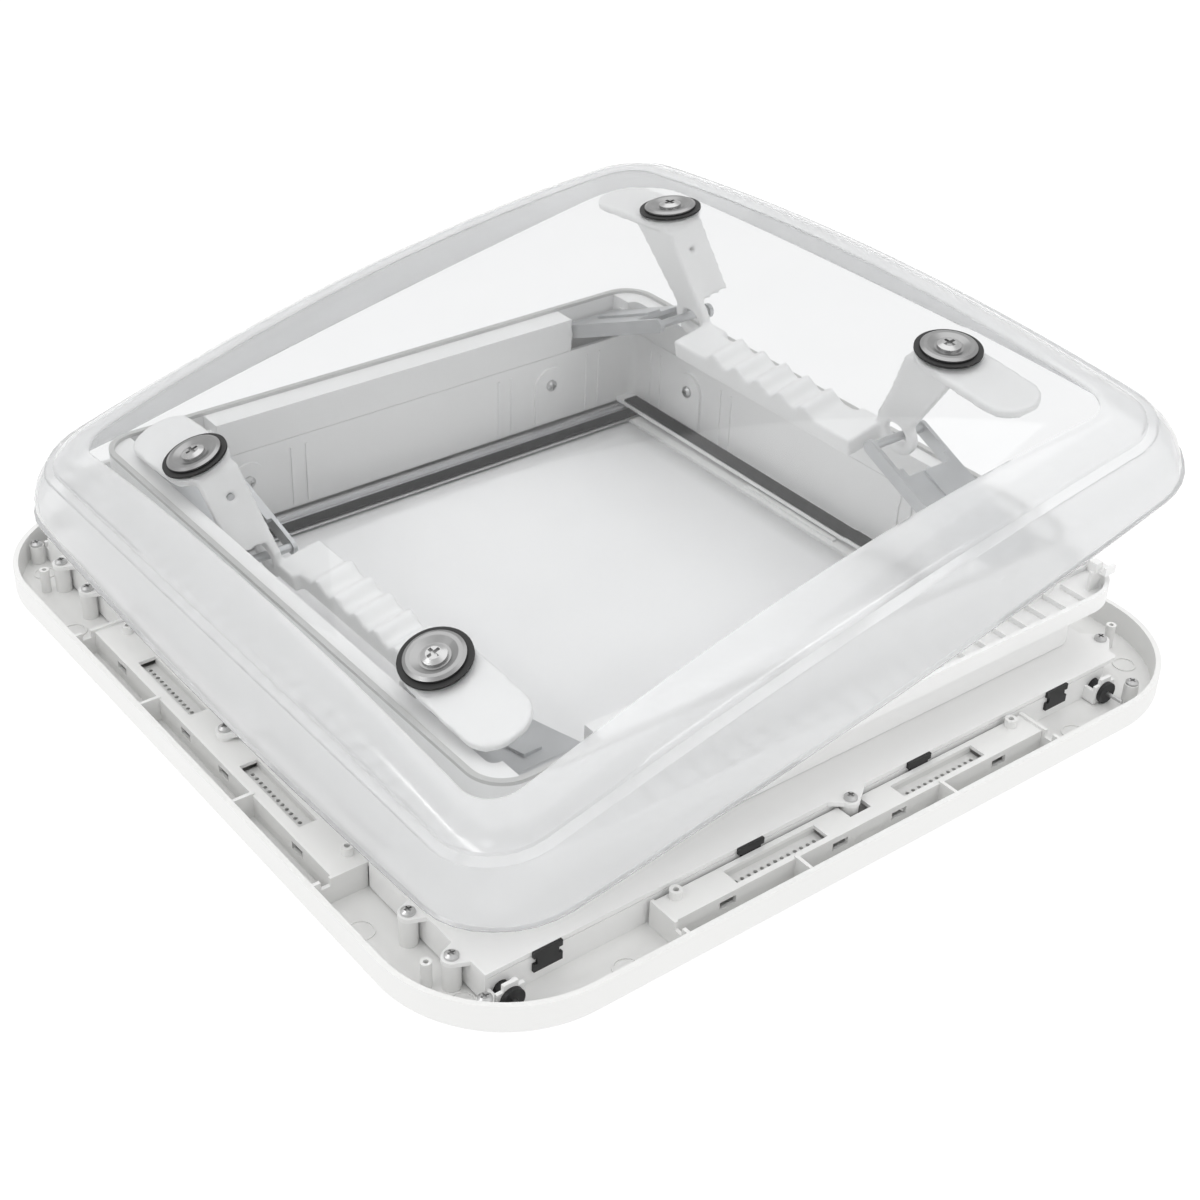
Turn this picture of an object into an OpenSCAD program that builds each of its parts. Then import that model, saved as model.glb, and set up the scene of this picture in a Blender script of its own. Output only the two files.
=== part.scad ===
// Roof vent for a caravan: a clear dome on a roof frame, over a trim frame with two roller blinds.
// It stands room side down. The photograph's state has the +X side raised, and +Z points to the sky.

/* [Trim frame] */
// Outer length of the trim frame along X
trim_x = 498; // [494:1:510]
// Outer length of the trim frame along Y
trim_y = 509.4; // [507:0.2:520]
// Outer corner radius of the trim frame
trim_r = 70.7; // [66:0.1:76]
// Height of the trim frame's rim
trim_h = 18; // [17.5:0.1:18.5]
// Wall of the trim frame
trim_wall = 3; // [2.4:0.1:3.4]
// Thickness of the trim frame's floor
trim_floor = 2.5; // [2:0.1:2.7]
// Diameter of a screw boss
boss_d = 9; // [8:0.5:10]
// Length of a duct window
window_l = 58; // [50:1:62]
// Width of a duct window
window_w = 10; // [9:0.5:11]

/* [Opening] */
// Clear opening along X
open_x = 358; // [356:0.5:360]
// Clear opening along Y
open_y = 347; // [346:0.5:349]
// Corner radius of the opening
open_r = 5; // [3:0.5:8]
// Wall of the liner round the opening
liner_wall = 2.4; // [2:0.1:2.8]
// Height of the joint between the liner and the roof frame
seam_z = 65; // [63:0.5:66]

/* [Roof frame] */
// Side of the square spigot that passes through the roof
spigot = 396; // [394:0.5:398]
// Side of the square flange that lies on the roof
flange = 430; // [426:1:434]
// Height of the flange's underside
flange_z = 52; // [50:0.5:54]
// Height of the flange's turned-up lip
lip_h = 10; // [8:0.5:11]
// Height of the frame's deck
deck_z = 87; // [86:0.2:87.4]
// Wall of the roof frame
frame_wall = 2.6; // [2.2:0.1:3]

/* [Dome] */
// Angle by which one side is raised
tilt = 11.75; // [10:0.05:11.75]
// Distance of the tilting axis from the middle along X
axis_x = 162; // [161.5:0.1:162.5]
// Height of the tilting axis with the dome shut
axis_z = 90.7; // [90:0.1:91]
// Half the side of the dome's crowned panel
panel_half = 200.3; // [199:0.1:202]
// Height of the panel's centre with the dome shut
panel_z = 125.4; // [125.2:0.1:127]
// Fall of the panel from its centre to the middle of a side
crown = 15.1; // [14.5:0.1:15.3]
// Half the length of the dome's rim along X
rim_half_x = 234.7; // [233:0.1:236]
// Half the length of the dome's rim along Y
rim_half_y = 238.5; // [237:0.1:240]
// How far the sides of the rim bow outwards
rim_bow = 6.3; // [4:0.1:7]
// Height of the rim with the dome shut
rim_z = 60.1; // [59:0.1:61]
// Thickness of the acrylic
dome_wall = 3; // [2.6:0.1:3.2]

/* [Lift gear] */
// Distance of a dome screw from the middle along X
screw_x = 166.7; // [166:0.1:167.5]
// Distance of a dome screw from the middle along Y
screw_y = 115.7; // [114:0.1:117]
// Distance of a handle's web from the middle along X
arm_x = 153; // [152.6:0.1:153.4]
// Height of the slot with the dome shut
arm_z = 49; // [48.8:0.1:49.2]
// Distance of a link's fixed pin from the middle along X
base_x = 150; // [149.6:0.1:150.4]
// Distance of a link's fixed pin from the middle along Y
base_y = 180; // [179.8:0.1:180.2]
// Height of a link's fixed pin
base_z = 75.5; // [75.3:0.1:75.7]
// Length of a link between its pins
link_len = 96; // [95.8:0.1:96.2]
// Diameter of the links' fixed pins
pin_d = 6; // [5.6:0.1:6.2]
// Diameter of the pin at a link's tip
tip_d = 5; // [4.8:0.1:5.2]
// Radial running clearance of a pin
run = 0.06; // [0.04:0.01:0.09]
// Thickness of the links' steel
link_t = 2.5; // [2:0.1:2.6]
// Clear width between a link's cheeks
fork_gap = 37; // [36.5:0.1:37.2]

/* [Blinds] */
// Height of the blackout cloth
blackout_z = 12.6; // [12.4:0.1:12.8]
// Height of the insect screen
screen_z = 7; // [6.8:0.1:7.2]
// Thickness of the cloths
cloth_t = 0.6; // [0.5:0.05:0.7]
// Diameter of a wound roller
roller_d = 12; // [11:0.2:12.4]
// Distance of the blackout roller from the middle
blackout_roller_x = 208.7; // [207:0.1:210]
// Distance of the screen's roller from the middle
screen_roller_x = 187; // [186:0.2:190]

/* [Hidden] */
$fn = 48;

gap = 0.3;
touch = 0.02;
half_x = open_x / 2;
half_y = open_y / 2;
edge_x = trim_x / 2;
edge_y = trim_y / 2;
crown_r = panel_half * panel_half / (2 * crown);
plate_z = trim_h + touch;
plate_t = 2.4;
plate_top = plate_z + plate_t;
plate_margin_x = 44;
plate_margin_y = 32.2;
plate_half_x = edge_x - plate_margin_x;
plate_half_y = edge_y - plate_margin_y;
// How far the plate reaches over the blackout roller
roller_cover = plate_half_x + 12;
duct_top = 16;
window_at = 55;
window_in_x = 25;
window_in_y = 22.2;
roller_z = trim_floor + 6.3;
pocket_half = fork_gap / 2 + link_t + 2;
tab_z = 46;
tab_t = 2;
upstand = 192;
lift = 2 * axis_x * sin(tilt);
// The slot in a handle's web lies where the link's tip is with the dome shut, 0.37 further out
arm_y = base_y - sqrt(link_len * link_len - pow(base_z - arm_z, 2)) + 0.37;
// The places that the links' tips have in the photograph's state
low_z = axis_z - (axis_x - arm_x) * sin(-tilt) - (axis_z - arm_z) * cos(tilt);
high_z = axis_z + (axis_x + arm_x) * sin(tilt) - (axis_z - arm_z) * cos(tilt);
low_angle = asin((low_z - base_z) / link_len);
high_angle = asin((high_z - base_z) / link_len);

ear_places = [[-222, -204], [-222, -169], [-222.5, 0], [-222, 159], [-222, 193], [210, -206],
    [222, -164], [222, 0], [222, 164], [210, 206], [-1, -226.6], [-1, 226.6]];
tower_places = concat([for (sx = [-1, 1], sy = [-1, 1]) [sx * 113.5, sy * 228]],
    [for (sx = [-1, 1], sy = [-1, 1]) [sx * 220, sy * 113.5]]);
cord_places = [[-221.5, -229], [199, -238.8], [-221.5, 229], [199, 238.8]];
peg_places = [for (sx = [-1, 1], sy = [-1, 1]) [sx * 231, sy * 197]];
roller_places = [-blackout_roller_x, screen_roller_x];
clip_places = [for (share = [-0.896, -0.309, 0.245, 0.754]) share * plate_half_x];

module four() {
    for (m = [0, 1], n = [0, 1]) mirror([m, 0, 0]) mirror([0, n, 0]) children();
}

// Both sides along X or along Y, drawn for +Y; the side length differs
module y_sides() {
    for (m = [0, 1]) mirror([0, m, 0]) children();
}

module x_sides() {
    for (m = [0, 1]) mirror([m, 0, 0]) rotate([0, 0, -90]) children();
}

// A rounded rectangle about the middle
module rounded(hx, hy, r) {
    square([2 * hx, 2 * (hy - r)], center = true);
    square([2 * (hx - r), 2 * hy], center = true);
    for (sx = [-1, 1], sy = [-1, 1]) translate([sx * (hx - r), sy * (hy - r)]) circle(r);
}

// A wall that follows a rounded rectangle, from z0 to z1, and wall thick inwards
module band(hx, hy, r, wall, z0, z1) {
    translate([0, 0, z0]) linear_extrude(z1 - z0) difference() {
        rounded(hx, hy, r);
        rounded(hx - wall, hy - wall, max(r - wall, 0.8));
    }
}

// A profile swept round a rounded rectangle: the profile's x is measured outwards from the edge
module sweep(hx, hy, r) {
    for (m = [0, 1]) mirror([m, 0, 0]) translate([hx, hy - r, 0]) rotate([90, 0, 0])
        linear_extrude(2 * (hy - r)) children();
    for (m = [0, 1]) mirror([0, m, 0]) translate([r - hx, hy, 0]) rotate([90, 0, 90])
        linear_extrude(2 * (hx - r)) children();
    four() translate([hx - r, hy - r, 0]) rotate_extrude(angle = 90) translate([r, 0]) children();
}

// A box whose corners are given
module block(x0, x1, y0, y1, z0, z1) {
    translate([x0, y0, z0]) cube([x1 - x0, y1 - y0, z1 - z0]);
}

// The air duct along one side, drawn for +Y: the edge is the trim frame's outer face there
module duct(edge, inner, middle) {
    difference() {
        block(-125, 125, inner, edge - 14, 0, duct_top);
        block(-123, 123, inner + 2, edge - 16, trim_floor, duct_top - 2);
        for (s = [-1, 1]) block(s * window_at - window_l / 2, s * window_at + window_l / 2,
            edge - middle - window_w / 2, edge - middle + window_w / 2, duct_top - 4, duct_top + 1);
        for (s = [-1, 1], x = [s * 20, s * 92]) block(x - 5, x + 5, edge - 17, edge - 13, 8, 12.5);
        block(-7, 7, inner - 1, inner + 9, trim_floor + 1, duct_top + 1);
    }
    for (x = [-49, 49]) block(x - 1, x + 1, edge - 15, edge - 2, trim_floor - 0.5, trim_h - 1);
    for (x = [-125, 125]) difference() {
        block(x - 1, x + 1, inner, edge - 2, trim_floor - 0.5, trim_h - 0.6);
        block(x - 2, x + 2, edge - 12, edge - 7, trim_h - 5, trim_h + 1);
    }
}

module air_slots(edge, middle) {
    for (s = [-1, 1], i = [-4:4]) block(s * window_at + i * 6 - 1, s * window_at + i * 6 + 1,
        edge - middle - 4, edge - middle + 4, -1, trim_floor + 1);
}

module trim_frame() {
    color("whitesmoke") difference() {
        union() {
            sweep(edge_x, edge_y, trim_r) difference() {
                translate([-12, 0]) square([12, trim_h]);
                translate([-12.5, trim_floor]) square([12.5 - trim_wall, trim_h]);
                difference() {
                    translate([-5, -1]) square([6, 6]);
                    translate([-5, 5]) circle(5);
                }
            }
            linear_extrude(trim_floor) difference() {
                rounded(edge_x - 11, edge_y - 11, trim_r - 11);
                rounded(half_x - 5, half_y - 22, 4);
            }
            y_sides() duct(edge_y, plate_half_y + 2, window_in_y);
            x_sides() duct(edge_x, plate_half_x, window_in_x);
            for (p = ear_places) translate(p) cylinder(d = boss_d, h = trim_h);
            for (p = tower_places) translate(p) cylinder(d = 6.5, h = trim_h + 2.6);
            for (p = cord_places) translate(p) cylinder(d = 8, h = trim_h - 4);
            for (p = peg_places) translate(p) cylinder(d = 5.5, h = trim_h - 1);
            four() translate([224, 215, 0]) tube(13, 11, trim_floor + 0.6);
            four() translate([152, 241, 0]) tube(14, 12, trim_floor + 0.6);
            four() translate([236, 150, 0]) tube(14, 12, trim_floor + 0.6);
        }
        for (p = ear_places) translate([p[0], p[1], 5]) cylinder(d = 2.6, h = trim_h);
        for (p = tower_places) translate([p[0], p[1], 4]) cylinder(d = 3, h = trim_h + 8);
        for (p = cord_places) translate([p[0], p[1], 4]) cylinder(d = 2.6, h = trim_h);
        for (p = peg_places) translate([p[0], p[1], 4]) cylinder(d = 2.6, h = trim_h);
        y_sides() air_slots(edge_y, window_in_y);
        x_sides() air_slots(edge_x, window_in_x);
        block(-blackout_roller_x - 8, -plate_half_x + 3, -plate_half_y - 2.5, plate_half_y + 2.5,
            trim_floor, duct_top - 1);
    }
}

module tube(d, bore, h) {
    difference() {
        cylinder(d = d, h = h);
        translate([0, 0, -1]) cylinder(d = bore, h = h + 2);
    }
}

// A row of air holes in a strip that hangs below a duct window, drawn for +Y
module strip(edge, middle) {
    for (s = [-1, 1]) difference() {
        translate([s * window_at, edge - middle, duct_top - 6.2]) {
            block(-window_l / 2 - 1, window_l / 2 + 1, -window_w / 2 - 0.6, window_w / 2 + 0.6, 0, 1.2);
            block(-window_l / 2 - 1, window_l / 2 + 1, -window_w / 2 - 0.6, -window_w / 2 - 0.1, 0, 4.1);
            block(-window_l / 2 - 1, window_l / 2 + 1, window_w / 2 + 0.1, window_w / 2 + 0.6, 0, 4.1);
        }
        for (i = [-6:6]) translate([s * window_at + i * 4.2, edge - middle, 0])
            cylinder(d = 2.2, h = 30, $fn = 16);
    }
}

module vent_strips() {
    color("gainsboro") {
        y_sides() strip(edge_y, window_in_y);
        x_sides() strip(edge_x, window_in_x);
    }
}

// The four pockets that hold the links, drawn for +X +Y
module pocket_walls() {
    four() for (x = [base_x - pocket_half - 2.4, base_x + pocket_half]) block(x, x + 2.4, half_y,
        upstand - 1,
        seam_z + gap, deck_z);
}

module pocket_space() {
    four() block(base_x - pocket_half, base_x + pocket_half, half_y - 1, upstand - frame_wall,
        seam_z - 2, deck_z + 1);
}

module roof_frame() {
    color("white") difference() {
        union() {
            difference() {
                union() {
                    band(half_x + frame_wall, half_y + frame_wall, open_r + frame_wall, frame_wall,
                        seam_z + gap, deck_z);
                    translate([0, 0, deck_z - 2.5]) linear_extrude(2.5) difference() {
                        rounded(upstand, upstand, 20);
                        rounded(half_x + 1, half_y + 1, open_r);
                    }
                    band(upstand, upstand, 20, frame_wall, flange_z + 1, deck_z);
                    band(spigot / 2, spigot / 2, 12, frame_wall, plate_top + gap, flange_z + 3);
                    translate([0, 0, flange_z + 0.4]) linear_extrude(2.6) difference() {
                        rounded(spigot / 2 + 4, spigot / 2 + 4, 16);
                        rounded(upstand - 1, upstand - 1, 19);
                    }
                    sweep(spigot / 2, spigot / 2, 12) polygon([[-1, flange_z - 6], [0.3, flange_z - 6],
                        [flange / 2 - spigot / 2 - 6, flange_z], [flange / 2 - spigot / 2, flange_z],
                        [flange / 2 - spigot / 2, flange_z + lip_h],
                        [flange / 2 - spigot / 2 - 2.6, flange_z + lip_h],
                        [flange / 2 - spigot / 2 - 2.6, flange_z + 3], [-1, flange_z + 3]]);
                }
                pocket_space();
            }
            pocket_walls();
            for (a = [0:90:270]) rotate([0, 0, a]) for (i = [-12:12])
                block(upstand - 1, flange / 2 - 1, i * 15.5 - 0.6, i * 15.5 + 0.6, flange_z + 2,
                    flange_z + 6);
            y_sides() for (s = [-1, 1]) tab_boss(s * 110, half_y);
            x_sides() for (s = [-1, 1]) tab_boss(s * 115, half_x);
        }
        four() translate([120, base_y, base_z]) rotate([0, 90, 0]) cylinder(d = pin_d + 2 * run, h = 60);
        tab_bore(2.8, 16);
    }
}

// A boss of the spigot into which a liner tab is screwed
module tab_boss(x, inner) {
    translate([x, inner + liner_wall + gap, tab_z]) rotate([-90, 0, 0])
        cylinder(d = 8, h = spigot / 2 - 1 - inner - liner_wall - gap);
}

// The places of the liner's screwed tabs, drawn for +Y
module tabs() {
    y_sides() for (s = [-1, 1]) translate([s * 110, half_y, 0]) children();
    x_sides() for (s = [-1, 1]) translate([s * 115, half_x, 0]) children();
}

module tab_bore(d, h) {
    tabs() translate([0, -6, tab_z]) rotate([-90, 0, 0]) cylinder(d = d, h = h + 6);
}

// A bracket for the end of a roller, drawn for +Y
module roller_bracket(x) {
    block(x - 7.5, x + 7.5, plate_half_y + 6, plate_half_y + 8, trim_floor + 0.6, trim_h - 4);
    block(x - 4, x + 4, plate_half_y + 6, plate_half_y + 8, trim_h - 5, trim_h - 0.5);
    for (s = [-7.5, 5.5]) block(x + s, x + s + 2, plate_half_y - 1, plate_half_y + 7, trim_floor + 0.6,
        trim_h - 7);
}

module blind_frame() {
    color("white") difference() {
        union() {
            translate([0, 0, plate_z]) linear_extrude(plate_t) difference() {
                union() {
                    rounded(plate_half_x, plate_half_y, 3);
                    for (s = [-1, 1]) translate([-roller_cover, s * 175 - 47.5]) square([20, 95]);
                    for (p = ear_places) translate(p) circle(d = boss_d + 1);
                    for (p = ear_places) if (abs(p[0]) > 205) polygon([[sign(p[0]) * 200, p[1] - 15],
                        [p[0] + sign(p[0]) * 2, p[1] - 4.6], [p[0] + sign(p[0]) * 2, p[1] + 4.6],
                        [sign(p[0]) * 200, p[1] + 15]]);
                    for (s = [-1, 1]) polygon([[-16, s * 220], [-4.6, s * 228.6], [4.6, s * 228.6],
                        [16, s * 220]]);
                }
                difference() {
                    rounded(half_x, half_y, open_r);
                    translate([half_x - 13, -half_y]) square([14, open_y]);
                }
            }
            band(half_x + liner_wall, half_y + liner_wall, open_r + liner_wall, liner_wall, plate_z,
                seam_z);
            y_sides() block(-roller_cover, 194.5, plate_half_y - 2, plate_half_y, trim_floor + touch,
                trim_h - 0.5);
            y_sides() block(-roller_cover, 1.6 - roller_cover, 127.5, plate_half_y, trim_floor + 1,
                plate_z + 1);
            y_sides() block(-roller_cover, 194.5, plate_half_y - 2, plate_half_y - 0.5, trim_h - 1,
                plate_z + 1);
            y_sides() for (x = roller_places) roller_bracket(x);
            tabs() block(-12, 12, -tab_t, 0.4, plate_top - 0.5, tab_z);
            tabs() translate([0, -tab_t, tab_z]) rotate([-90, 0, 0]) cylinder(d = 24, h = tab_t + 0.4);
            tabs() for (x = [-40, -30, 30, 40]) block(x - 0.7, x + 0.7, -0.8, 0.4, plate_top - 0.5,
                seam_z - 6);
        }
        for (p = ear_places) translate([p[0], p[1], 0]) cylinder(d = 3.2, h = 40);
        tab_bore(3.4, 6);
        for (s = [-1, 1]) translate([-1, s * 226.6, 0]) cylinder(d = boss_d + 0.8, h = trim_h);
        y_sides() for (x = roller_places) translate([x, plate_half_y - 3, roller_z]) rotate([-90, 0, 0])
            cylinder(d = 8.2, h = 12);
    }
}

module weather_seal() {
    color("darkgray") sweep(upstand, upstand, 20) difference() {
        translate([-3.2, deck_z + touch]) square([3.2, 2]);
        translate([-1.6, deck_z + 1]) circle(0.6);
    }
}

// A hook at each corner of the flange: an angled post with a small tray on top
module corner_hooks() {
    inner = upstand + 4;
    top = flange_z + 14;
    color("ghostwhite") four() {
        block(inner, inner + 8.5, inner + 4, inner + 6, flange_z + 3 + touch, top);
        block(inner + 6.5, inner + 8.5, inner, inner + 6, flange_z + 3 + touch, top);
        block(inner, inner + 12, inner + 4, inner + 6, top - 2, top + 1);
        block(inner + 4, inner + 12, inner, inner + 12, top, top + 2);
        block(inner + 4, inner + 12, inner + 10, inner + 12, top, top + 5);
        block(inner + 2, inner + 7, inner + 2, inner + 7, top, top + 6);
    }
}

// An extruded rail with a slot for each blind, drawn for +Y
module rail() {
    translate([6 - half_x, 0, 0]) rotate([90, 0, 90]) linear_extrude(open_x - 12) difference() {
        union() {
            translate([half_y - 22, trim_floor + touch]) square([20, duct_top - trim_floor - touch]);
            translate([half_y - 9, duct_top - 0.1]) square([2, 1.1]);
            translate([half_y - 4, duct_top - 0.1]) square([2, 1.1]);
        }
        translate([half_y - 23, screen_z - 1.3]) square([7.5, 3.2]);
        translate([half_y - 23, blackout_z - 1.3]) square([7.5, 3.2]);
        translate([half_y - 13.5, 5]) square([9, 8]);
    }
}

module guide_rails() {
    color("silver") y_sides() rail();
}

module pile_strips() {
    color("black") {
        y_sides() block(8 - half_x, half_x - 8, half_y - 21, half_y - 12.3, duct_top + touch, duct_top
            + 1.6);
        block(half_x - 12.4, half_x - 2.5, 8 - half_y, half_y - 8, plate_top + touch, plate_top + 1.6);
    }
}

module rail_clips() {
    color("black") y_sides() for (x = clip_places) translate([x, plate_half_y, 0]) difference() {
        block(-8, 8, touch, 1.7, trim_h - 9, plate_top);
        for (s = [-8, 8]) block(s - 2, s + 2, -1, 3, trim_h - 4.5, trim_h - 1);
    }
}

// A cross-head screw whose head stands on z = 0 with its shank below
module screw(head_d, head_h, shank_d, shank_l) {
    difference() {
        union() {
            cylinder(d = head_d, h = head_h * 0.5);
            translate([0, 0, head_h * 0.5]) cylinder(d1 = head_d, d2 = head_d * 0.6, h = head_h * 0.5);
            translate([0, 0, -shank_l]) cylinder(d = shank_d, h = shank_l + 0.1);
        }
        for (a = [0, 90]) rotate([0, 0, a]) block(-head_d * 0.27, head_d * 0.27, -head_d * 0.07,
            head_d * 0.07,
            head_h * 0.45, head_h + 1);
    }
}

module ear_screws() {
    color("lightgray") for (p = ear_places) translate([p[0], p[1], plate_top + touch]) screw(7, 2.4,
        2.5, 10);
}

module tab_screws() {
    color("lightgray") tabs() translate([0, -tab_t - touch, tab_z]) rotate([90, 0, 0]) screw(7.5, 2.4,
        2.6, 12);
}

module cord_screws() {
    color("lightgray") for (p = cord_places) translate([p[0], p[1], trim_h - 4 + touch]) screw(7, 2.2,
        2.5, 8);
}

module roller(x) {
    translate([x, 3 - plate_half_y, roller_z]) rotate([-90, 0, 0]) cylinder(d = roller_d,
        h = 2 * plate_half_y - 6);
}

module blackout_roller() {
    color("lightgray") roller(-blackout_roller_x);
}

module flyscreen_roller() {
    color("lightgray") roller(screen_roller_x);
}

module roller_plugs() {
    color("black") y_sides() for (x = roller_places) translate([x, plate_half_y - 3 + touch, roller_z])
        rotate([-90, 0, 0]) difference() {
            union() {
                cylinder(d = 7.8, h = 12);
                translate([0, 0, 11 + touch]) cylinder(d = 12.4, h = 2.4);
            }
            translate([0, 0, 2]) cylinder(d = 2.4, h = 20);
        }
}

module roller_pins() {
    color("silver") y_sides() for (x = roller_places) translate([x, plate_half_y + 2, roller_z])
        rotate([-90, 0, 0]) cylinder(d = 2.3, h = 18.5);
}

cloth_y = half_y - 17;
dock_x = half_x - 14;

module blackout_fabric() {
    color("lightgray") block(6 - blackout_roller_x, dock_x - 5, -cloth_y, cloth_y, blackout_z,
        blackout_z + cloth_t);
}

module flyscreen_fabric() {
    color("dimgray") block(5 - dock_x, screen_roller_x - 6, -cloth_y, cloth_y, screen_z, screen_z
        + cloth_t);
}

// A blind's pull bar; its tongues run in the rails
module pull_bar(z) {
    block(-5, 5, 1 + 22 - half_y, half_y - 22 - 1, z - 2.6, z + 2.6);
    block(-5, 5, -cloth_y, cloth_y, z - 0.9, z + 1.5);
    block(-1.5, 1.5, -40, 40, z - 2.6, z + 4.2);
}

module blackout_bar() {
    color("white") translate([dock_x, 0, 0]) pull_bar(blackout_z);
}

module flyscreen_bar() {
    color("white") translate([-dock_x, 0, 0]) pull_bar_low(screen_z);
}

module pull_bar_low(z) {
    block(-5, 5, 1 + 22 - half_y, half_y - 22 - 1, z - 2.6, z + 2.2);
    block(-5, 5, -cloth_y, cloth_y, z - 0.9, z + 1.5);
}

// The steel pins on which the links turn in the roof frame
module link_base_pins() {
    near = base_x - pocket_half;
    far = base_x + pocket_half;
    color("white") four() translate([0, base_y, base_z]) rotate([0, 90, 0]) {
        translate([0, 0, near - 2]) cylinder(d = pin_d, h = far - near + 4);
        translate([0, 0, near + touch]) cylinder(d = 12, h = 1.6);
        translate([0, 0, far - 1.6]) cylinder(d = 12, h = 1.6 - touch);
        translate([0, 0, near - 4.4]) cylinder(d = 7.6, h = 2 - touch);
    }
}

// A link of pressed steel, drawn for +X +Y: a bridge with two cheeks, turning about its fixed pin
module link(angle) {
    w = fork_gap + 2 * link_t;
    translate([base_x, base_y, base_z]) rotate([-angle, 0, 0]) difference() {
        union() {
            translate([-w / 2, -link_len + 21, 1.5]) cube([w, link_len - 15, link_t]);
            translate([-w / 2, 0, 0]) rotate([0, 90, 0]) cylinder(d = pin_d + 4, h = w);
            for (s = [-1, 1]) translate([s * (w - link_t) / 2, 0, 0]) rotate([90, 0, -90])
                translate([0, 0, -link_t / 2]) linear_extrude(link_t) {
                    translate([0, -4.5]) square([link_len, 8.5]);
                    translate([link_len, -0.25]) circle(4.25);
                }
            translate([-w / 2, -link_len, 0]) rotate([0, 90, 0]) cylinder(d = tip_d, h = w);
            block(-5, 5, -link_len + 28, -14, link_t + 1, link_t + 3);
        }
        translate([-w, 0, 0]) rotate([0, 90, 0]) cylinder(d = pin_d + 2 * run, h = 2 * w);
        block(-w / 2 + link_t + 3, w / 2 - link_t - 3, -link_len + 20, -link_len + 27, 0, 6);
    }
}

module link_near_left() {
    color("lightsteelblue") mirror([1, 0, 0]) mirror([0, 1, 0]) link(low_angle);
}

module link_far_left() {
    color("lightsteelblue") mirror([1, 0, 0]) link(low_angle);
}

module link_near_right() {
    color("lightsteelblue") mirror([0, 1, 0]) link(high_angle);
}

module link_far_right() {
    color("lightsteelblue") link(high_angle);
}

// Takes the dome's pieces from shut to the photograph's state
module raised() {
    translate([-axis_x, 0, axis_z]) rotate([0, -tilt, 0]) translate([axis_x, 0, -axis_z]) children();
}

// Sets children on the crowned panel's outer face, square to it
module on_crown(x, y) {
    translate([0, 0, panel_z - crown_r]) rotate([-asin(y / crown_r), asin(x / crown_r), 0])
        translate([0, 0, crown_r]) children();
}

// A level's points: eight on each corner and eleven along each side
function corner_pts(hx, hy, r, q) = let (sx = [1, -1, -1, 1][q], sy = [1, 1, -1, -1][q])
    [for (i = [0:7]) [sx * (hx - r), sy * (hy - r)] + r * [cos(q * 90 + i * 90 / 7), sin(q * 90
        + i * 90 / 7)]];
function side_pts(a, b) = [for (i = [1:11]) a + (b - a) * i / 12];
function outline(hx, hy, r) = [for (q = [0:3]) let (c = corner_pts(hx, hy, r, q),
    n = corner_pts(hx, hy, r, (q + 1) % 4)) for (p = concat(c, side_pts(c[7], n[0]))) p];
function crown_at(p) = panel_z - crown * (p[0] * p[0] + p[1] * p[1]) / (panel_half * panel_half);
function square_in(p) = max(abs(p[0]), abs(p[1]));
// The panel, at k of its size and drop below its face
function cap_level(k, drop) = [for (p = outline(panel_half * k, panel_half * k, max(20 * k, 1)))
    [p[0], p[1], crown_at(p) - drop]];
// The skirt between panel and rim: t is 0 at the rim and 1 at the panel, and d is the depth below the face
function skirt_level(a, d) = let (i = (1 - cos(a)) / (1 - cos(84)), h = sin(a) / sin(84), dz = d * sin(a),
    hx = rim_half_x + (panel_half - rim_half_x) * i - d * cos(a), hy = rim_half_y
        + (panel_half - rim_half_y) * i - d * cos(a),
    r = 44 + (20 - 44) * i - d * cos(a) * 0.5, bow = rim_bow * (1 - i), top = outline(panel_half,
        panel_half, 20),
    pts = outline(hx, hy, r)) [for (n = [0:len(pts) - 1]) let (p = pts[n], u = pow(p[0] / hx, 2),
        v = pow(p[1] / hy, 2))
    [p[0] + (abs(p[0]) > hx - r ? sign(p[0]) * bow * (1 - v) : 0),
     p[1] + (abs(p[1]) > hy - r ? sign(p[1]) * bow * (1 - u) : 0),
     rim_z + (crown_at(top[n]) - rim_z) * h - dz]];

skirt_steps = [0, 12, 24, 36, 48, 60, 72];
cap_steps = [1, 0.85, 0.7, 0.55, 0.4, 0.25, 0.1];
dome_rings = concat([for (a = skirt_steps) skirt_level(a, 0)], [for (k = cap_steps) cap_level(k, 0)],
    [[for (p = outline(2, 2, 1)) [p[0], p[1], panel_z]], [for (p = outline(2, 2, 1)) [p[0], p[1],
        panel_z - dome_wall]]],
    [for (i = [6:-1:1]) cap_level(cap_steps[i], dome_wall)], [cap_level(0.985, dome_wall)],
    [for (i = [6:-1:0]) skirt_level(skirt_steps[i], dome_wall)]);

module ring_solid(rings) {
    n = len(rings[0]);
    m = len(rings);
    polyhedron(points = [for (r = rings) for (p = r) p],
        faces = [for (j = [0:m - 1], i = [0:n - 1]) let (a = j * n + i, b = j * n + (i + 1) % n,
            c = ((j + 1) % m) * n + i, d = ((j + 1) % m) * n + (i + 1) % n) for (f = [[a, c, b], [b, c,
                d]]) f]);
}

module dome_shell() {
    color("lightcyan", 0.35) raised() difference() {
        union() {
            ring_solid(dome_rings);
            translate([0, 0, panel_z - dome_wall]) cylinder(d = 7, h = dome_wall);
        }
        for (sx = [-1, 1], sy = [-1, 1]) on_crown(sx * screw_x, sy * screw_y) translate([0, 0, -12])
            cylinder(d = 7, h = 24);
    }
}

pad_t = 5;
web_t = 5;
plate_x = 175;
grip_x = 139;
grip_w = 24;

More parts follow.
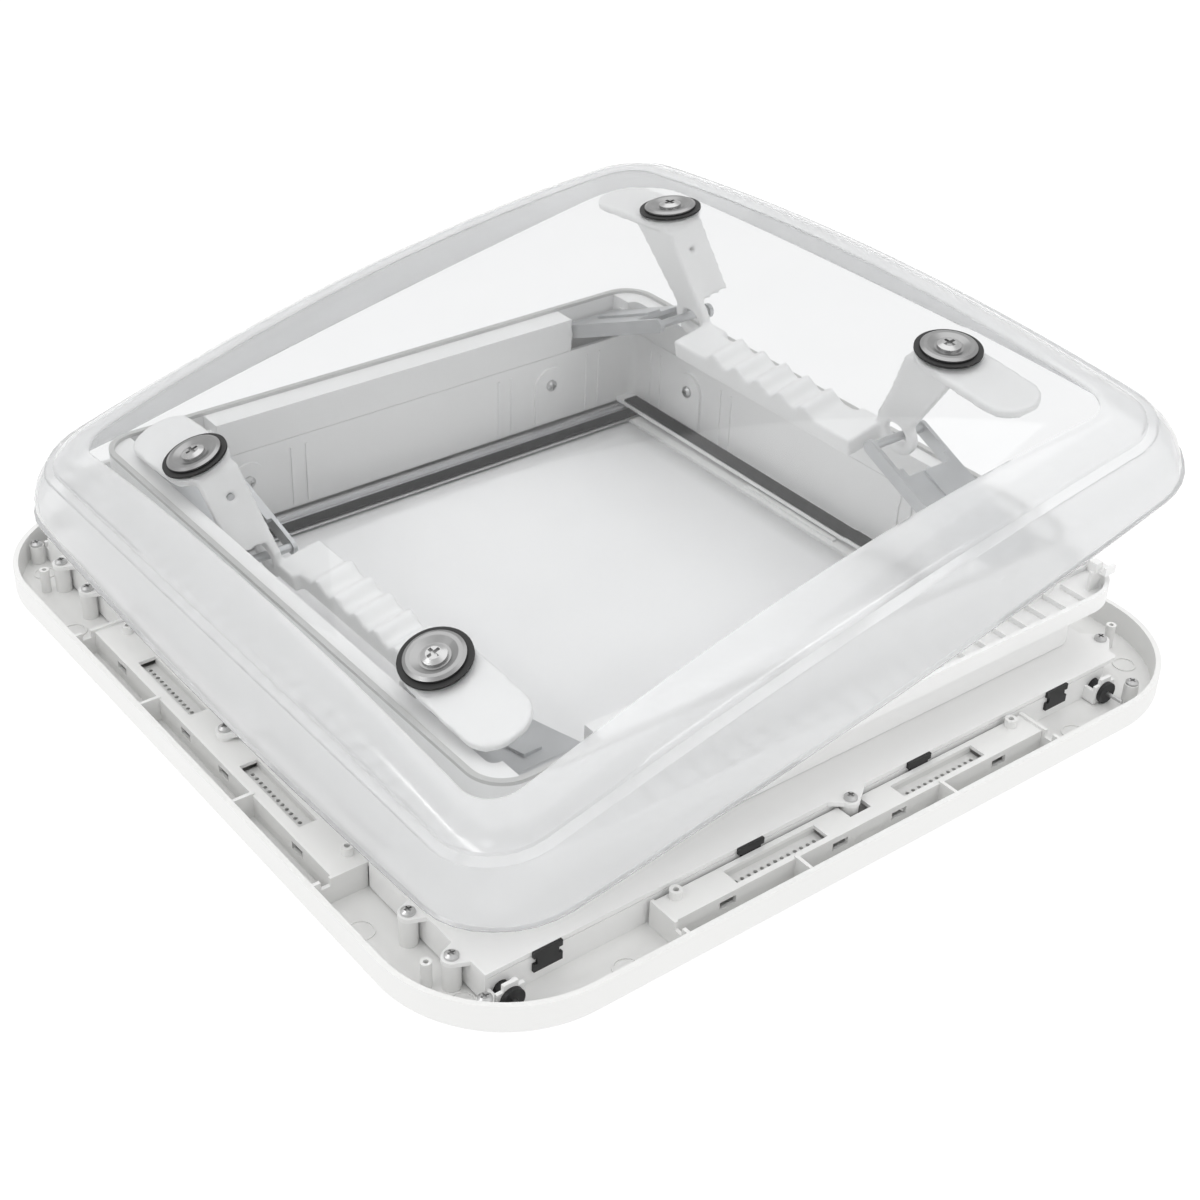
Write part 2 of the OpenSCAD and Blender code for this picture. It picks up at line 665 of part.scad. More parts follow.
// One arm of a handle with its pad, web, slot and sloping plate, drawn for +X +Y
module arm() {
    difference() {
        union() {
            on_crown(screw_x, screw_y + 21.8) translate([0, 0, -dome_wall - 0.9 - pad_t])
                linear_extrude(pad_t)
                rounded(18, 37.5, 16);
            on_crown(screw_x, screw_y) translate([0, 0, -dome_wall - 5]) cylinder(d = 15, h = 5 - gap);
            translate([arm_x - web_t / 2, 0, 0]) rotate([90, 0, 90]) linear_extrude(web_t) {
                polygon([[100, 104], [134, 104], [arm_y + 13, arm_z + 9], [arm_y + 10, arm_z - 3],
                    [arm_y - 14, arm_z - 3], [arm_y - 14, arm_z + 8]]);
                translate([arm_y, arm_z]) circle(14);
            }
            translate([arm_x - web_t / 2, 0, 0]) rotate([90, 0, 90]) linear_extrude(plate_x - arm_x
                + web_t / 2)
                polygon([[98, 105], [104, 105], [arm_y - 3, arm_z + 14.5], [arm_y - 9, arm_z + 14.5]]);
            translate([axis_x, arm_y + 4.9, axis_z]) rotate([-90, 0, 0]) cylinder(d = 8, h = 9);
        }
        translate([arm_x - 8, 0, 0]) rotate([90, 0, 90]) linear_extrude(16) {
            for (s = [-1.4, 1.4]) translate([arm_y + s, arm_z]) circle(6.2);
            translate([arm_y - 1.4, arm_z - 6.2]) square([2.8, 12.4]);
        }
        on_crown(screw_x, screw_y) translate([0, 0, -30]) cylinder(d = 5, h = 40);
        translate([axis_x, arm_y + 1.9, axis_z]) rotate([-90, 0, 0]) cylinder(d = 4 + 2 * run, h = 20);
    }
}

// The wavy upper edge of the grip
grip_edge = [for (i = [0:60]) let (y = -60 + 2 * i) [y, arm_z + 5 + (abs(y)
    < 48 ? 3 * cos(y * 360 / 19.2) : -3)]];

module grip() {
    translate([grip_x - grip_w / 2, 0, 0]) rotate([90, 0, 90]) linear_extrude(grip_w)
        polygon(concat(grip_edge, [[60, arm_z - 9], [-60, arm_z - 9]]));
    y_sides() {
        block(grip_x - grip_w / 2, arm_x + web_t / 2, 58, 76, arm_z - 9, arm_z + 2);
        block(arm_x - web_t / 2, arm_x + web_t / 2, 74, 80, arm_z - 8, arm_z + 2);
    }
}

module handle() {
    grip();
    y_sides() arm();
}

module right_handle() {
    color("white") raised() handle();
}

module left_handle() {
    color("white") raised() mirror([1, 0, 0]) handle();
}

module left_rocker_pins() {
    color("silver") y_sides() translate([-axis_x, arm_y + 3.9, axis_z]) rotate([-90, 0, 0])
        cylinder(d = 4, h = 11);
}

module at_screws() {
    for (sx = [-1, 1], sy = [-1, 1]) raised() on_crown(sx * screw_x, sy * screw_y) children();
}

module rubber_washers() {
    color("black") at_screws() translate([0, 0, touch]) tube(37, 7, 1.2);
}

module cup_washers() {
    color("silver") at_screws() translate([0, 0, 1.24]) rotate_extrude() difference() {
        polygon([[2.8, 0], [14, 0], [15.4, 0.5], [15.4, 1.4], [13.6, 2.4], [11.6, 2.4], [8, 1], [2.8, 1]]);
        square([2.8, 10]);
    }
}

module dome_screws() {
    color("silver") at_screws() translate([0, 0, 2.26]) screw(13, 2.6, 4.8, 16);
}

trim_frame();
vent_strips();
roof_frame();
blind_frame();
weather_seal();
corner_hooks();
guide_rails();
pile_strips();
rail_clips();
ear_screws();
tab_screws();
cord_screws();
blackout_roller();
flyscreen_roller();
roller_plugs();
roller_pins();
blackout_fabric();
blackout_bar();
flyscreen_fabric();
flyscreen_bar();
link_base_pins();
left_rocker_pins();
link_near_left();
link_far_left();
link_near_right();
link_far_right();
dome_shell();
left_handle();
right_handle();
cup_washers();
rubber_washers();
dome_screws();
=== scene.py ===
import math

import bmesh
import bpy
from mathutils import Matrix, Vector


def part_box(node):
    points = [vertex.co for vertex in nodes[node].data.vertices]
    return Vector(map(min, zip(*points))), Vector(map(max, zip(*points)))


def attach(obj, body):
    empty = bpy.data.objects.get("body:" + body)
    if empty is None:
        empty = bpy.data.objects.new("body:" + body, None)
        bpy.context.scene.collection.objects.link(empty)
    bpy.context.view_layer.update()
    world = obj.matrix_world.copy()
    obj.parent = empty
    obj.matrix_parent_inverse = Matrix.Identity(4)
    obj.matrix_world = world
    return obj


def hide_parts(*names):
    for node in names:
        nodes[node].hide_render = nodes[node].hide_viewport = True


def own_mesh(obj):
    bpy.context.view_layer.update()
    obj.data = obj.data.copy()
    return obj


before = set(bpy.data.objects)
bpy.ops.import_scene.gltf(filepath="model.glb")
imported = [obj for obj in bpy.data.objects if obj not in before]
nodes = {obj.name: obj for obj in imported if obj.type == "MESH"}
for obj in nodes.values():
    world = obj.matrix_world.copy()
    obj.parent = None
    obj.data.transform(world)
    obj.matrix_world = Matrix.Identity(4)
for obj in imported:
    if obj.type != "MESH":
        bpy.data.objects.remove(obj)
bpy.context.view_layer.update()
scene = bpy.context.scene

# ---- Camera ----
# The photograph's own view, from above the corner between the -X and -Y sides, with a lens of about 60 mm.
# Its place, turn, lens and shift come from fitting the trim frame, the dome's panel and rim, and its screws.
LENS, SENSOR_WIDTH = 59.57, 36.0
SHIFT_X, SHIFT_Y = -0.00282, -0.01046
CAMERA_PLACE = (-0.5799, -0.7447, 0.6339)
PITCH, YAW, ROLL = 0.5737, 0.6788, 0.0366
forward = Vector((math.sin(YAW) * math.cos(PITCH), math.cos(YAW) * math.cos(PITCH), -math.sin(PITCH)))
level = Vector((math.cos(YAW), -math.sin(YAW), 0.0))
upward = level.cross(forward)
right = math.cos(ROLL) * level + math.sin(ROLL) * upward
above = -math.sin(ROLL) * level + math.cos(ROLL) * upward
camera_data = bpy.data.cameras.new("camera")
camera_data.lens, camera_data.sensor_width = LENS, SENSOR_WIDTH
camera_data.shift_x, camera_data.shift_y = SHIFT_X, SHIFT_Y
camera_data.dof.use_dof = False
camera = bpy.data.objects.new("camera", camera_data)
turn = Matrix((right, above, -forward)).transposed().to_4x4()
camera.matrix_world = Matrix.Translation(CAMERA_PLACE) @ turn
scene.collection.objects.link(camera)
scene.camera = camera

# ---- Studio ----
# One large soft panel overhead, and two narrow strips whose long highlights run along the dome's shoulder.
# The picture is plain white round the vent, so the floor glows and carries only a faint shadow.
SKY_STRENGTH, FLOOR_GLOW = 0.86, 0.92
PANEL_SIDE, STRIP_LENGTH, STRIP_WIDTH = 2.2, 1.3, 0.10
FLOOR_HALF, FLOOR_DROP = 6.0, 0.0005
scene.view_settings.view_transform = "Standard"
world = bpy.data.worlds.new("studio")
scene.world = world
world.use_nodes = True
world.node_tree.nodes["Background"].inputs["Color"].default_value = (1.0, 1.0, 1.0, 1.0)
world.node_tree.nodes["Background"].inputs["Strength"].default_value = SKY_STRENGTH


def panel_light(name, place, target, width, height, power):
    data = bpy.data.lights.new(name, "AREA")
    data.shape, data.size, data.size_y, data.energy = "RECTANGLE", width, height, power
    light = bpy.data.objects.new(name, data)
    place, target = Vector(place), Vector(target)
    aim = (place - target).to_track_quat("Z", "Y").to_matrix().to_4x4()
    light.matrix_world = Matrix.Translation(place) @ aim
    scene.collection.objects.link(light)


panel_light("overhead", (0.2, 0.3, 2.0), (0, 0, 0.05), PANEL_SIDE, PANEL_SIDE, 14)
panel_light("left_strip", (-1.3, 0.1, 1.0), (-0.1, 0, 0.1), STRIP_LENGTH, STRIP_WIDTH, 2.6)
panel_light("front_strip", (0.2, -1.4, 0.9), (0, -0.1, 0.1), STRIP_LENGTH, STRIP_WIDTH, 2.2)

grid = bmesh.new()
bmesh.ops.create_grid(grid, x_segments=1, y_segments=1, size=FLOOR_HALF)
floor_mesh = bpy.data.meshes.new("floor")
grid.to_mesh(floor_mesh)
grid.free()
floor = bpy.data.objects.new("floor", floor_mesh)
floor_mesh.transform(Matrix.Translation((0, 0, -FLOOR_DROP)))
scene.collection.objects.link(floor)
paper = bpy.data.materials.new("studio_paper")
paper.use_nodes = True
paper_shader = paper.node_tree.nodes["Principled BSDF"]
paper_shader.inputs["Base Color"].default_value = (0.12, 0.12, 0.12, 1)
paper_shader.inputs["Roughness"].default_value = 0.9
paper_shader.inputs["Emission Color"].default_value = (1, 1, 1, 1)
paper_shader.inputs["Emission Strength"].default_value = FLOOR_GLOW
floor_mesh.materials.append(paper)

# ---- Trim frame ----
# The shallow tray that faces the room, injection-moulded in white ABS with ribs, air ducts and screw bosses.
# Its plastic is smooth on the outside, with a very fine grain and faint flow marks.
FLOW_ROUGHNESS, FLOW_SHADE = 0.12, 0.05
# Sockets of a node that mixes two colours
MIX_FIRST, MIX_SECOND, MIX_RESULT = 6, 7, 2


def socket(group, name, kind, value=None, output=False):
    way = "OUTPUT" if output else "INPUT"
    made = group.interface.new_socket(name=name, in_out=way, socket_type=kind)
    if value is not None:
        made.default_value = value


def moulded_grain():
    """A shader group: the grain as a height, and the flow marks in a colour and a roughness."""
    group = bpy.data.node_groups.new("moulded_grain", "ShaderNodeTree")
    socket(group, "Colour", "NodeSocketColor", (0.8, 0.8, 0.8, 1))
    socket(group, "Roughness", "NodeSocketFloat", 0.4)
    socket(group, "Grain size", "NodeSocketFloat", 900.0)
    socket(group, "Colour", "NodeSocketColor", output=True)
    socket(group, "Roughness", "NodeSocketFloat", output=True)
    socket(group, "Height", "NodeSocketFloat", output=True)
    tree = group.nodes
    source, sink = tree.new("NodeGroupInput"), tree.new("NodeGroupOutput")
    place = tree.new("ShaderNodeTexCoord")
    grain, flow = tree.new("ShaderNodeTexNoise"), tree.new("ShaderNodeTexNoise")
    grain.inputs["Detail"].default_value = 2.0
    flow.inputs["Scale"].default_value = 9.0
    flow.inputs["Detail"].default_value = 4.0
    join = group.links.new
    join(place.outputs["Object"], grain.inputs["Vector"])
    join(place.outputs["Object"], flow.inputs["Vector"])
    join(source.outputs["Grain size"], grain.inputs["Scale"])
    join(grain.outputs["Fac"], sink.inputs["Height"])
    rough = tree.new("ShaderNodeMath")
    rough.operation = "MULTIPLY_ADD"
    join(flow.outputs["Fac"], rough.inputs[0])
    rough.inputs[1].default_value = FLOW_ROUGHNESS
    join(source.outputs["Roughness"], rough.inputs[2])
    join(rough.outputs[0], sink.inputs["Roughness"])
    shade = tree.new("ShaderNodeMix")
    shade.data_type, shade.blend_type = "RGBA", "MULTIPLY"
    shade.inputs["Factor"].default_value = FLOW_SHADE
    join(source.outputs["Colour"], shade.inputs[MIX_FIRST])
    join(flow.outputs["Fac"], shade.inputs[MIX_SECOND])
    join(shade.outputs[MIX_RESULT], sink.inputs["Colour"])
    return group


GRAIN = moulded_grain()


def moulded(name, colour, roughness, grain_size=900.0, grain_depth=0.02, specular=0.5):
    """Moulded plastic or rubber with the shared grain, whose depth is in millimetres."""
    material = bpy.data.materials.new(name)
    material.use_nodes = True
    tree = material.node_tree
    shader = tree.nodes["Principled BSDF"]
    shader.inputs["Specular IOR Level"].default_value = specular
    grain = tree.nodes.new("ShaderNodeGroup")
    grain.node_tree = GRAIN
    grain.inputs["Colour"].default_value = (*colour, 1)
    grain.inputs["Roughness"].default_value = roughness
    grain.inputs["Grain size"].default_value = grain_size
    bump = tree.nodes.new("ShaderNodeBump")
    bump.inputs["Strength"].default_value = 0.25
    bump.inputs["Distance"].default_value = grain_depth / 1000
    join = tree.links.new
    join(grain.outputs["Colour"], shader.inputs["Base Color"])
    join(grain.outputs["Roughness"], shader.inputs["Roughness"])
    join(grain.outputs["Height"], bump.inputs["Height"])
    join(bump.outputs["Normal"], shader.inputs["Normal"])
    return material


def finish_node(node, material):
    mesh = nodes[node].data
    mesh.materials.clear()
    mesh.materials.append(material)


white_abs = moulded("white_abs", (0.84, 0.84, 0.83), 0.32)
finish_node("trim_frame", white_abs)

# ---- Vent strips ----
# Perforated strips of white ABS that hang below the duct windows and let air through without insects.
finish_node("vent_strips", moulded("strip_abs", (0.74, 0.74, 0.73), 0.45))

# ---- Roof frame ----
# The outer frame with spigot, flange and deck, and the hooks at its corners, in a glossier white ABS.
# Its white is painted lighter than the trim frame's: painted light that makes up for the shade under the
# dome.
roof_abs_painted_light = moulded("roof_abs_painted_light", (0.90, 0.90, 0.895), 0.26)
finish_node("roof_frame", roof_abs_painted_light)
finish_node("corner_hooks", roof_abs_painted_light)

# ---- Weather seal ----
# A hollow bead of soft grey rubber on the deck's edge, against which the dome closes.
finish_node("weather_seal", moulded("seal_rubber", (0.55, 0.55, 0.54), 0.6, 500, 0.04))

# ---- Blind frame ----
# The liner round the opening with the plate that covers the blinds, in white ABS.
# Its white is painted lighter than the trim frame's: painted light that makes up for the shade under the
# dome.
finish_node("blind_frame", moulded("liner_abs_painted_light", (0.90, 0.90, 0.895), 0.36))

# ---- Guide rails ----
# Extruded aluminium, anodised grey, with a slot for each blind. The drawing lines run along its length.
LINE_SMOOTH, LINE_ROUGH = 0.8, 1.25


def rolled_metal(name, colour, roughness, stretch=(4, 400, 400), depth=0.01, contrast=0.2):
    """Bare metal with fine lines, long where stretch is small. Their depth is in millimetres."""
    material = bpy.data.materials.new(name)
    material.use_nodes = True
    tree = material.node_tree
    shader = tree.nodes["Principled BSDF"]
    shader.inputs["Metallic"].default_value = 1.0
    place, turn = tree.nodes.new("ShaderNodeTexCoord"), tree.nodes.new("ShaderNodeMapping")
    turn.inputs["Scale"].default_value = stretch
    lines = tree.nodes.new("ShaderNodeTexNoise")
    lines.inputs["Scale"].default_value = 1.0
    lines.inputs["Detail"].default_value = 3.0
    shade = tree.nodes.new("ShaderNodeMix")
    shade.data_type = "RGBA"
    shade.inputs[MIX_FIRST].default_value = (*[c * (1 - contrast) for c in colour], 1)
    shade.inputs[MIX_SECOND].default_value = (*colour, 1)
    rough = tree.nodes.new("ShaderNodeMapRange")
    rough.inputs["To Min"].default_value = roughness * LINE_SMOOTH
    rough.inputs["To Max"].default_value = roughness * LINE_ROUGH
    bump = tree.nodes.new("ShaderNodeBump")
    bump.inputs["Strength"].default_value = 0.3
    bump.inputs["Distance"].default_value = depth / 1000
    join = tree.links.new
    join(place.outputs["Object"], turn.inputs["Vector"])
    join(turn.outputs["Vector"], lines.inputs["Vector"])
    join(lines.outputs["Fac"], shade.inputs["Factor"])
    join(lines.outputs["Fac"], rough.inputs["Value"])
    join(lines.outputs["Fac"], bump.inputs["Height"])
    join(shade.outputs[MIX_RESULT], shader.inputs["Base Color"])
    join(rough.outputs["Result"], shader.inputs["Roughness"])
    join(bump.outputs["Normal"], shader.inputs["Normal"])
    return material


anodised = rolled_metal("anodised_rail", (0.78, 0.78, 0.79), 0.38)
finish_node("guide_rails", anodised)

# ---- Pile strips ----
# Black brush pile glued along the rails and at the raised side, which keeps light out at the cloth's edges.
black_pile = moulded("black_pile", (0.004, 0.004, 0.004), 0.9, 2500, 0.3, 0.1)
finish_node("pile_strips", black_pile)

# ---- Rail clips ----
# Black nylon clips on the edge of the blind frame, and the plugs at the rollers' ends.
black_nylon = moulded("black_nylon", (0.015, 0.015, 0.016), 0.42)
finish_node("rail_clips", black_nylon)
finish_node("roller_plugs", black_nylon)

# ---- Screws of the frames ----
# Zinc-plated pan-head screws with cross recesses, in the ears, in the liner's tabs and at the cords, and the
# pins in the rollers' plugs.
zinc = rolled_metal("zinc_plate", (0.62, 0.62, 0.62), 0.3, (300, 300, 300), 0.004, 0.15)
for name in ("ear_screws", "tab_screws", "cord_screws", "roller_pins"):
    finish_node(name, zinc)

# ---- Rollers ----
# Aluminium tubes with a spring inside, on which the two blinds wind.
finish_node("blackout_roller", anodised)
finish_node("flyscreen_roller", anodised)

# ---- Blackout blind ----
# Coated blackout cloth, pale grey, drawn right across between the rails to its pull bar.
# Cuts across the cloth's length and width, made in every edge longer than this
CLOTH_CUTS, LONG_EDGE = (24, 16), 0.1


def piece(name, bm, material):
    mesh = bpy.data.meshes.new(name)
    bm.to_mesh(mesh)
    bm.free()
    mesh.materials.append(material)
    for face in mesh.polygons:
        face.use_smooth = True
    made = bpy.data.objects.new(name, mesh)
    scene.collection.objects.link(made)
    return made


def woven(name, colour, roughness, threads, depth):
    """Plain weave from two crossed waves on the cloth's own flat coordinates, its depth in millimetres."""
    material = bpy.data.materials.new(name)
    material.use_nodes = True
    tree = material.node_tree
    shader = tree.nodes["Principled BSDF"]
    shader.inputs["Sheen Weight"].default_value = 0.15
    shader.inputs["Roughness"].default_value = roughness
    place = tree.nodes.new("ShaderNodeTexCoord")
    warp, weft = tree.nodes.new("ShaderNodeTexWave"), tree.nodes.new("ShaderNodeTexWave")
    warp.bands_direction, weft.bands_direction = "X", "Y"
    weave = tree.nodes.new("ShaderNodeMath")
    weave.operation = "MAXIMUM"
    soil = tree.nodes.new("ShaderNodeTexNoise")
    soil.inputs["Scale"].default_value = 14.0
    shade = tree.nodes.new("ShaderNodeMix")
    shade.data_type = "RGBA"
    shade.inputs[MIX_FIRST].default_value = (*[c * 0.94 for c in colour], 1)
    shade.inputs[MIX_SECOND].default_value = (*colour, 1)
    bump = tree.nodes.new("ShaderNodeBump")
    bump.inputs["Strength"].default_value = 0.4
    bump.inputs["Distance"].default_value = depth / 1000
    join = tree.links.new
    for wave in (warp, weft):
        wave.inputs["Scale"].default_value = threads
        join(place.outputs["Object"], wave.inputs["Vector"])
    join(warp.outputs["Fac"], weave.inputs[0])
    join(weft.outputs["Fac"], weave.inputs[1])
    join(place.outputs["Object"], soil.inputs["Vector"])
    join(soil.outputs["Fac"], shade.inputs["Factor"])
    join(shade.outputs[MIX_RESULT], shader.inputs["Base Color"])
    join(weave.outputs[0], bump.inputs["Height"])
    join(bump.outputs["Normal"], shader.inputs["Normal"])
    return material


def drawn_cloth(name, node, material):
    """A cloth in place of its node: a box of the node's size, cut into a fine grid and fixed to the frames.
    """
    low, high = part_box(node)
    size = high - low
    cloth = bmesh.new()
    corners = bmesh.ops.create_cube(cloth, size=1.0)["verts"]
    bmesh.ops.scale(cloth, vec=size, verts=corners)
    bmesh.ops.translate(cloth, vec=(low + high) / 2, verts=corners)
    for axis, cuts in enumerate(CLOTH_CUTS):
        edges = [e for e in cloth.edges if abs((e.verts[0].co - e.verts[1].co)[axis]) > LONG_EDGE]
        bmesh.ops.subdivide_edges(cloth, edges=edges, cuts=cuts)
    sheet = piece(name, cloth, material)
    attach(sheet, "frames")
    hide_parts(node)
    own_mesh(sheet)
    return sheet


blackout_cloth = woven("blackout_cloth", (0.86, 0.86, 0.86), 0.75, 500, 0.05)
blackout_sheet = drawn_cloth("blackout_sheet", "blackout_fabric", blackout_cloth)
finish_node("blackout_bar", white_abs)

# ---- Flyscreen ----
# Dark mesh cloth on the lower track, drawn from the other side to its own pull bar.
screen_cloth = woven("screen_cloth", (0.16, 0.16, 0.16), 0.8, 400, 0.2)
flyscreen_sheet = drawn_cloth("flyscreen_sheet", "flyscreen_fabric", screen_cloth)
finish_node("flyscreen_bar", white_abs)

# ---- Links and their pins ----
# Forks pressed from zinc-plated steel strip, turning on white pins in the roof frame's pockets.
pressed = rolled_metal("pressed_steel", (0.66, 0.67, 0.68), 0.38, (60, 60, 60), 0.02, 0.3)
for name in ("link_near_left", "link_far_left", "link_near_right", "link_far_right",
             "left_rocker_pins"):
    finish_node(name, pressed)
finish_node("link_base_pins", white_abs)

# ---- Handles ----
# Each is one white moulding with well rounded edges: two screwed pads, two webs with sloping plates, and a
# wavy grip between. The CAD solid gives its form, and a fine remesh and smoothing round its edges.
HANDLE_VOXEL, SMOOTH_PASSES, MERGE_DISTANCE = 0.0013, 6, 0.00001


def rounded_moulding(node, material):
    """A copy of a CAD solid with its edges rounded off, in place of the node."""
    copy = bmesh.new()
    copy.from_mesh(nodes[node].data)
    bmesh.ops.remove_doubles(copy, verts=copy.verts, dist=MERGE_DISTANCE)
    made = piece("rounded_" + node, copy, material)
    remesh = made.modifiers.new("even_mesh", "REMESH")
    remesh.mode, remesh.voxel_size, remesh.use_smooth_shade = "VOXEL", HANDLE_VOXEL, True
    soften = made.modifiers.new("rounded_edges", "SMOOTH")
    soften.factor, soften.iterations = 0.5, SMOOTH_PASSES
    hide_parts(node)
    return made


# The handles' white is painted brighter than the trim frame's: painted light where they sit under the clear
# panel.
handle_abs_painted_light = moulded("handle_abs_painted_light", (0.93, 0.93, 0.925), 0.3)
for side in ("left", "right"):
    handle = rounded_moulding(side + "_handle", handle_abs_painted_light)
    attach(handle, "dome")

# ---- Dome ----
# A single sheet of clear acrylic, 3 mm thick, thermoformed over a mould with a crowned panel. One crease
# runs round the panel and a second round the skirt. The skirt is clouded by the forming, the panel is clear.
TILT = math.radians(11.75)
AXIS_X, AXIS_Z = 0.162, 0.0907
PANEL_HALF, PANEL_Z, CROWN = 0.2003, 0.1254, 0.0151
RIM_HALF_X, RIM_HALF_Y, RIM_BOW, RIM_Z = 0.2347, 0.2385, 0.0063, 0.0601
RIM_CORNER, PANEL_CORNER = 0.044, 0.020
DOME_WALL, SHARP_ANGLE = 0.003, math.radians(24)
PANEL_CELLS = 40
# Share of the way to a corner that a side's straight part takes up
SIDE_SHARE = 0.8
# The skirt's slope in degrees and its step outwards, from the panel's crease down to the rim's bead
TOP_SLOPE = 84
SKIRT_STEPS = (
    (83.4, 0.0022), (80, 0.0024), (74, 0.0014), (68, 0.0008), (62, 0.0), (56, -0.0006), (50, -0.0016),
    (46.5, -0.0030), (45.2, -0.0006), (44, 0.0008), (38, 0.0), (30, 0), (22, 0), (14, 0), (7, 0), (2.5, 0),
    (1.2, 0.0014), (0, 0.0016))


def on_outline(spot, half_x, half_y, corner):
    """Moves a spot on the unit square's edge to a rounded rectangle's edge."""
    lead = max(abs(spot.x), abs(spot.y))
    x, y = abs(spot.x) / lead, abs(spot.y) / lead
    if min(x, y) <= SIDE_SHARE:
        share = min(x, y) / SIDE_SHARE
        x, y = (half_x, share * (half_y - corner)) if x >= y else (share * (half_x - corner), half_y)
    else:
        turn = math.radians(45) * (min(x, y) - SIDE_SHARE) / (1 - SIDE_SHARE)
        turn = turn if x >= y else math.radians(90) - turn
        x, y = half_x - corner + corner * math.cos(turn), half_y - corner + corner * math.sin(turn)
    return math.copysign(x, spot.x), math.copysign(y, spot.y)


def crown_height(x, y):
    """Height of the crowned panel with the dome shut."""
    return PANEL_Z - CROWN * (x * x + y * y) / PANEL_HALF ** 2


def skirt_point(spot, slope, out):
    """A point of the skirt, from its slope, which is 0 at the rim, and a step outwards."""
    inward = (1 - math.cos(slope)) / (1 - math.cos(math.radians(TOP_SLOPE)))
    height = math.sin(slope) / math.sin(math.radians(TOP_SLOPE))
    half_x = RIM_HALF_X + (PANEL_HALF - RIM_HALF_X) * inward + out
    half_y = RIM_HALF_Y + (PANEL_HALF - RIM_HALF_Y) * inward + out
    x, y = on_outline(spot, half_x, half_y, RIM_CORNER + (PANEL_CORNER - RIM_CORNER) * inward + out)
    bow = RIM_BOW * (1 - inward)
    bow_x, bow_y = bow * (1 - (y / half_y) ** 2), bow * (1 - (x / half_x) ** 2)
    if abs(spot.x) >= abs(spot.y):
        side_x, side_y = math.copysign(bow_x, x), 0.0
    else:
        side_x, side_y = 0.0, math.copysign(bow_y, y)
    panel = on_outline(spot, PANEL_HALF, PANEL_HALF, PANEL_CORNER)
    return Vector((x + side_x, y + side_y, RIM_Z + (crown_height(*panel) - RIM_Z) * height))


dome = bmesh.new()
bmesh.ops.create_grid(dome, x_segments=PANEL_CELLS, y_segments=PANEL_CELLS, size=1.0)
spots = {vert: vert.co.copy() for vert in dome.verts}
edge_ring = [edge for edge in dome.edges if edge.is_boundary]
for vert, spot in spots.items():
    size = max(abs(spot.x), abs(spot.y))
    if size > 0:
        x, y = on_outline(spot, PANEL_HALF * size, PANEL_HALF * size, PANEL_CORNER * size)
        vert.co = (x, y, crown_height(x, y))
    else:
        vert.co = (0, 0, PANEL_Z)
for slope, out in SKIRT_STEPS:
    grown = bmesh.ops.extrude_edge_only(dome, edges=edge_ring)["geom"]
    fresh = {item for item in grown if isinstance(item, bmesh.types.BMVert)}
    for vert in fresh:
        older = next(e.other_vert(vert) for e in vert.link_edges if e.other_vert(vert) not in fresh)
        spots[vert] = spots[older]
        vert.co = skirt_point(spots[vert], math.radians(slope), out)
    for face in {f for vert in fresh for f in vert.link_faces}:
        face.material_index = 1
    edge_ring = [item for item in grown if isinstance(item, bmesh.types.BMEdge) and item.is_boundary]
bmesh.ops.recalc_face_normals(dome, faces=dome.faces)
to_axis, from_axis = Matrix.Translation((AXIS_X, 0, -AXIS_Z)), Matrix.Translation((-AXIS_X, 0, AXIS_Z))
raised = from_axis @ Matrix.Rotation(-TILT, 4, "Y") @ to_axis
bmesh.ops.transform(dome, verts=dome.verts, matrix=raised)


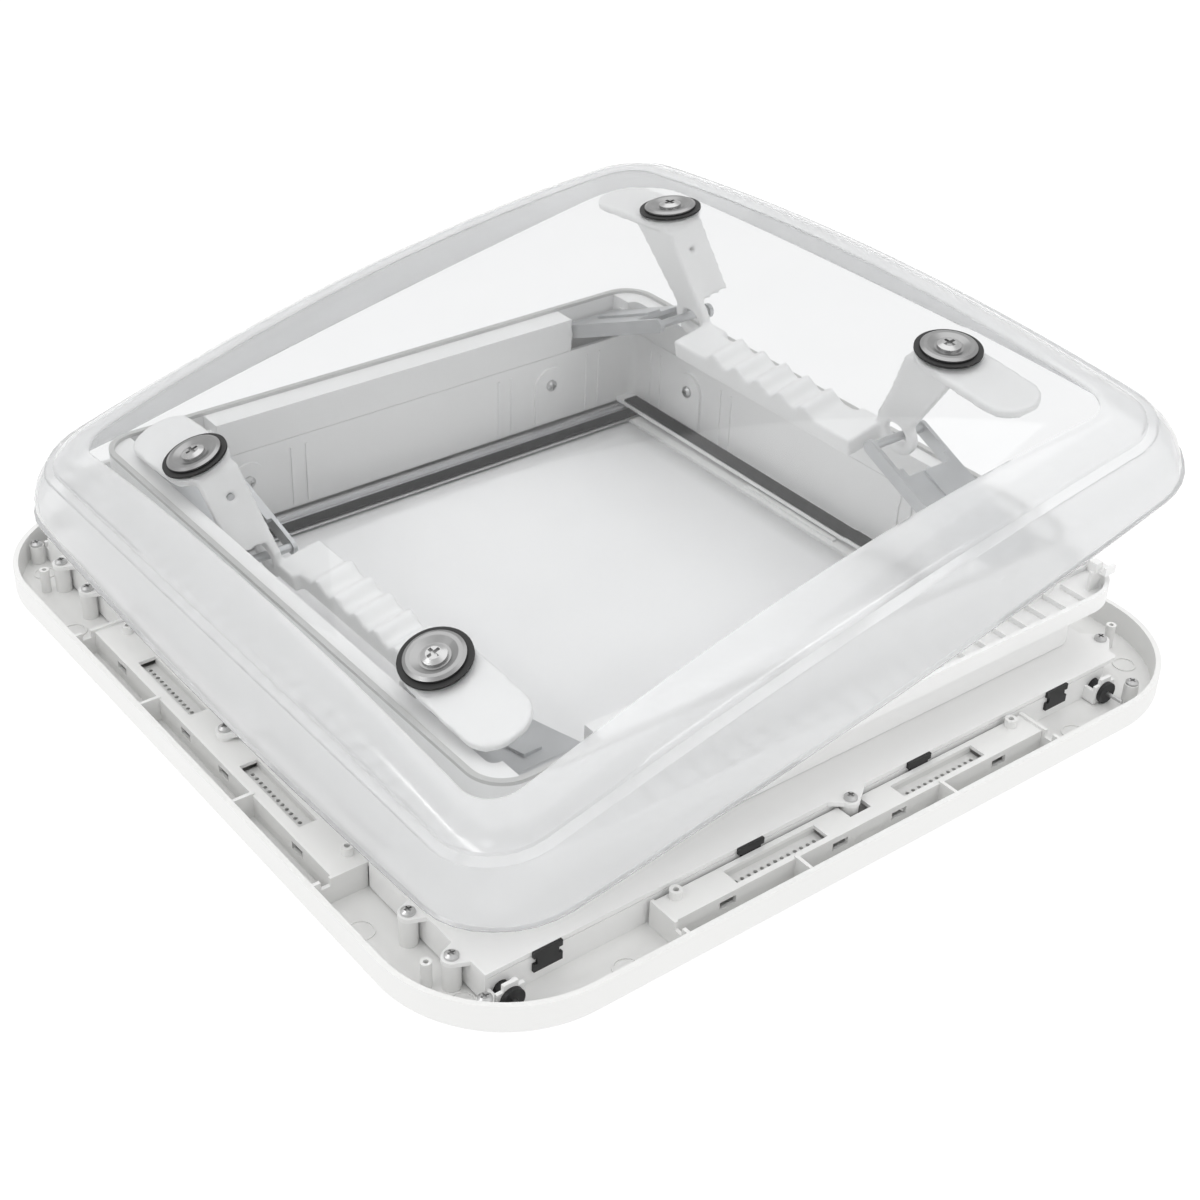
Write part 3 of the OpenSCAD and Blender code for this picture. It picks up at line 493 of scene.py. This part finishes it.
def acrylic(name, colour, through, roughness, dust, bending):
    """Acrylic sheet that lets a share of the light through, with patchy dust and nearly no shadow."""
    material = bpy.data.materials.new(name)
    material.use_nodes = True
    tree = material.node_tree
    shader = tree.nodes["Principled BSDF"]
    shader.inputs["IOR"].default_value = bending
    shader.inputs["Transmission Weight"].default_value = through
    place, specks = tree.nodes.new("ShaderNodeTexCoord"), tree.nodes.new("ShaderNodeTexNoise")
    specks.inputs["Scale"].default_value = 26.0
    specks.inputs["Detail"].default_value = 6.0
    rough = tree.nodes.new("ShaderNodeMapRange")
    rough.inputs["To Min"].default_value = roughness
    rough.inputs["To Max"].default_value = roughness + dust
    shade = tree.nodes.new("ShaderNodeMix")
    shade.data_type = "RGBA"
    shade.inputs[MIX_FIRST].default_value = (*[c * 0.97 for c in colour], 1)
    shade.inputs[MIX_SECOND].default_value = (*colour, 1)
    join = tree.links.new
    join(place.outputs["Object"], specks.inputs["Vector"])
    join(specks.outputs["Fac"], rough.inputs["Value"])
    join(specks.outputs["Fac"], shade.inputs["Factor"])
    join(rough.outputs["Result"], shader.inputs["Roughness"])
    join(shade.outputs[MIX_RESULT], shader.inputs["Base Color"])
    path, clear = tree.nodes.new("ShaderNodeLightPath"), tree.nodes.new("ShaderNodeBsdfTransparent")
    clear.inputs["Color"].default_value = (0.98, 0.98, 0.98, 1)
    mix, out = tree.nodes.new("ShaderNodeMixShader"), tree.nodes["Material Output"]
    join(path.outputs["Is Shadow Ray"], mix.inputs[0])
    join(shader.outputs[0], mix.inputs[1])
    join(clear.outputs[0], mix.inputs[2])
    join(mix.outputs[0], out.inputs["Surface"])
    return material


clear_acrylic = acrylic("clear_acrylic", (0.86, 0.865, 0.87), 0.992, 0.012, 0.02, 1.33)
clouded_acrylic = acrylic("clouded_acrylic", (0.83, 0.835, 0.84), 0.62, 0.08, 0.08, 1.49)
clear_dome = piece("clear_dome", dome, clear_acrylic)
clear_dome.data.materials.append(clouded_acrylic)
clear_dome.data.set_sharp_from_angle(angle=SHARP_ANGLE)
wall = clear_dome.modifiers.new("wall", "SOLIDIFY")
wall.thickness, wall.offset = DOME_WALL, -1
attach(clear_dome, "dome")
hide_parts("dome_shell")

# ---- Dome screws ----
# Large pan-head screws in dished stainless washers on black rubber rings, four through the dome. Their steel
# has an even fine grain with no direction.
EVEN_GRAIN = (200, 200, 200)
screw_steel = rolled_metal("screw_steel", (0.5, 0.5, 0.5), 0.28, EVEN_GRAIN, 0.003, 0.1)
finish_node("dome_screws", screw_steel)
washer_steel = rolled_metal("washer_steel", (0.34, 0.34, 0.34), 0.3, EVEN_GRAIN, 0.003, 0.1)
finish_node("cup_washers", washer_steel)
finish_node("rubber_washers", moulded("black_rubber", (0.012, 0.012, 0.012), 0.5))
